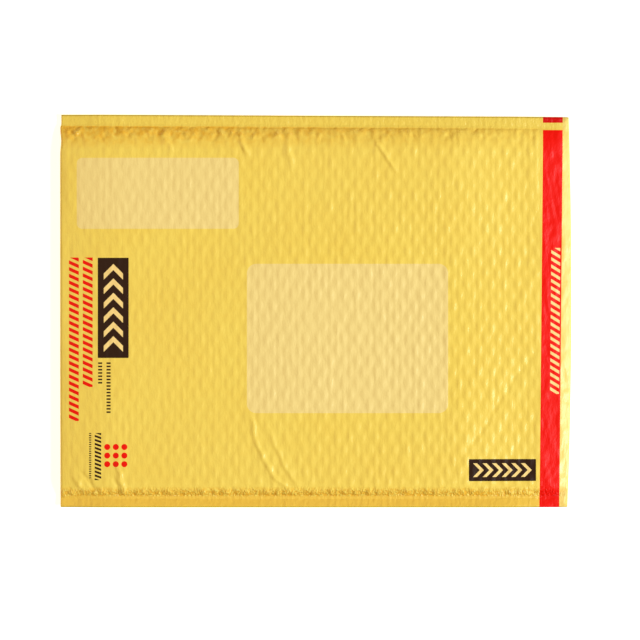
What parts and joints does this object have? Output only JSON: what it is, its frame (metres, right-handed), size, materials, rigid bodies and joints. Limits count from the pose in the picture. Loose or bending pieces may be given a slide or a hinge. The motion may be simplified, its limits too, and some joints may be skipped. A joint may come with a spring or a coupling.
{
  "type": "padded envelope",
  "caption": "Flat padded mailing envelope of yellow film with a bubble lining, welded side seams, and a flap with glue and a release strip folded behind.",
  "frame": {"origin": "bottom centre of the bounding box, on the surface that the envelope lies on", "axes": "+X from the bottom fold to the mouth, +Y towards the upper side seam, +Z out of the address face"},
  "size_m": [0.2985, 0.229, 0.0106],
  "materials": {
    "outer_film": "satin yellow polyethylene film with red and dark printed fields",
    "bubble_liner": "clear glossy polyethylene bubble film",
    "adhesive": "pale tacky hot-melt glue",
    "release_paper": "smooth white siliconed release strip"
  },
  "bodies": {
    "root": {"outer_film": "outer_film", "bubble_liner": "bubble_liner", "adhesive_strip": "adhesive", "release_liner": "release_paper"}
  },
  "joints": []
}
